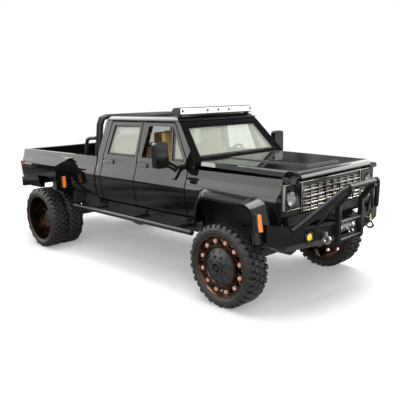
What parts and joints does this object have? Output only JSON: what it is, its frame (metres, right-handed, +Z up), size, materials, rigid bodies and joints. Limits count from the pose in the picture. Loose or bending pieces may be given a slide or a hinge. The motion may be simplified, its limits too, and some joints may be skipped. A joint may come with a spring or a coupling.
{
  "type": "dually pickup truck scale model",
  "caption": "Lifted crew cab pickup model with dual rear wheels, brush guard, roof light bar, roll bar, opening doors, hood and tailgate, and axles that roll.",
  "frame": {"origin": "on the ground under the tyres, at the middle of the truck's overall length and width", "axes": "+X forward, +Y to the driver's left, +Z up"},
  "size_m": [0.1054, 0.042, 0.0369],
  "materials": {
    "body_paint": "gloss",
    "satin_black": "satin",
    "guard_black": "satin",
    "chassis_black": "matte",
    "chrome": "polished",
    "rim_finish": "satin",
    "tyre": "matte",
    "glass": "clear",
    "interior_tan": "matte",
    "steel": "satin",
    "silver": "satin",
    "lamp_clear": "clear",
    "lamp_amber": "gloss",
    "lamp_yellow": "gloss",
    "lamp_red": "gloss"
  },
  "bodies": {
    "truck": {"cab_shell": "body_paint", "windshield": "glass", "rear_window": "glass", "light_bar": "satin_black", "light_bar_lens": "lamp_clear", "floor_pan": "interior_tan", "front_seats": "interior_tan", "rear_bench": "interior_tan", "dashboard": "interior_tan", "steering_wheel": "satin_black", "front_fenders": "body_paint", "front_flares": "body_paint", "rear_flares": "body_paint", "marker_lamps": "lamp_amber", "front_panel": "satin_black", "grille_back": "satin_black", "grille_bars": "chrome", "headlamp_bezels": "satin_black", "headlamps": "lamp_clear", "front_bumper": "guard_black", "brush_guard": "guard_black", "winch": "silver", "fog_lamps": "lamp_yellow", "shackles": "silver", "cargo_bed": "body_paint", "roll_bar": "guard_black", "tail_lamps": "lamp_red", "rear_bumper": "guard_black", "side_steps": "guard_black", "chassis_frame": "chassis_black", "front_axle_housing": "chassis_black", "rear_axle_housing": "chassis_black", "leaf_springs": "chassis_black", "shock_absorbers": "chassis_black", "driveline": "chassis_black", "engine_block": "chassis_black", "fuel_tank": "chassis_black", "exhaust": "steel"},
    "front_wheels": {"front_axle_pin": "steel", "front_rim_left": "rim_finish", "front_rim_right": "rim_finish", "front_tyre_left": "tyre", "front_tyre_right": "tyre"},
    "rear_wheels": {"rear_axle_pin": "steel", "rear_rim_left": "rim_finish", "rear_rim_right": "rim_finish", "rear_tyres_left": "tyre", "rear_tyres_right": "tyre"},
    "hood_panel": {"hood": "body_paint"},
    "tailgate_panel": {"tailgate": "body_paint"},
    "front_door_left_body": {"front_door_left": "body_paint", "vent_glass_left": "glass", "mirror_left": "satin_black"},
    "rear_door_left_body": {"rear_door_left": "body_paint", "rear_door_glass_left": "glass"},
    "front_door_right_body": {"front_door_right": "body_paint", "vent_glass_right": "glass", "mirror_right": "satin_black"},
    "rear_door_right_body": {"rear_door_right": "body_paint", "rear_door_glass_right": "glass"}
  },
  "joints": [
    {"name": "front_wheels_turn", "type": "hinge", "parent": "truck", "child": "front_wheels", "pos_m": [0.034, 0, 0.00804], "axis": [0, 1, 0], "continuous": true},
    {"name": "rear_wheels_turn", "type": "hinge", "parent": "truck", "child": "rear_wheels", "pos_m": [-0.0313, 0, 0.00804], "axis": [0, 1, 0], "continuous": true},
    {"name": "hood_swing", "type": "hinge", "parent": "truck", "child": "hood_panel", "pos_m": [0.0236, 0, 0.0265], "axis": [0, -1, 0], "range_deg": [0, 50]},
    {"name": "tailgate_swing", "type": "hinge", "parent": "truck", "child": "tailgate_panel", "pos_m": [-0.0494, 0, 0.0172], "axis": [0, -1, 0], "range_deg": [0, 90]},
    {"name": "front_door_left_swing", "type": "hinge", "parent": "truck", "child": "front_door_left_body", "pos_m": [0.0214, 0.01595, 0.02], "axis": [0, 0, -1], "range_deg": [0, 60]},
    {"name": "rear_door_left_swing", "type": "hinge", "parent": "truck", "child": "rear_door_left_body", "pos_m": [0.00455, 0.01595, 0.02], "axis": [0, 0, -1], "range_deg": [0, 60]},
    {"name": "front_door_right_swing", "type": "hinge", "parent": "truck", "child": "front_door_right_body", "pos_m": [0.0214, -0.01595, 0.02], "axis": [0, 0, 1], "range_deg": [0, 60]},
    {"name": "rear_door_right_swing", "type": "hinge", "parent": "truck", "child": "rear_door_right_body", "pos_m": [0.00455, -0.01595, 0.02], "axis": [0, 0, 1], "range_deg": [0, 60]}
  ]
}
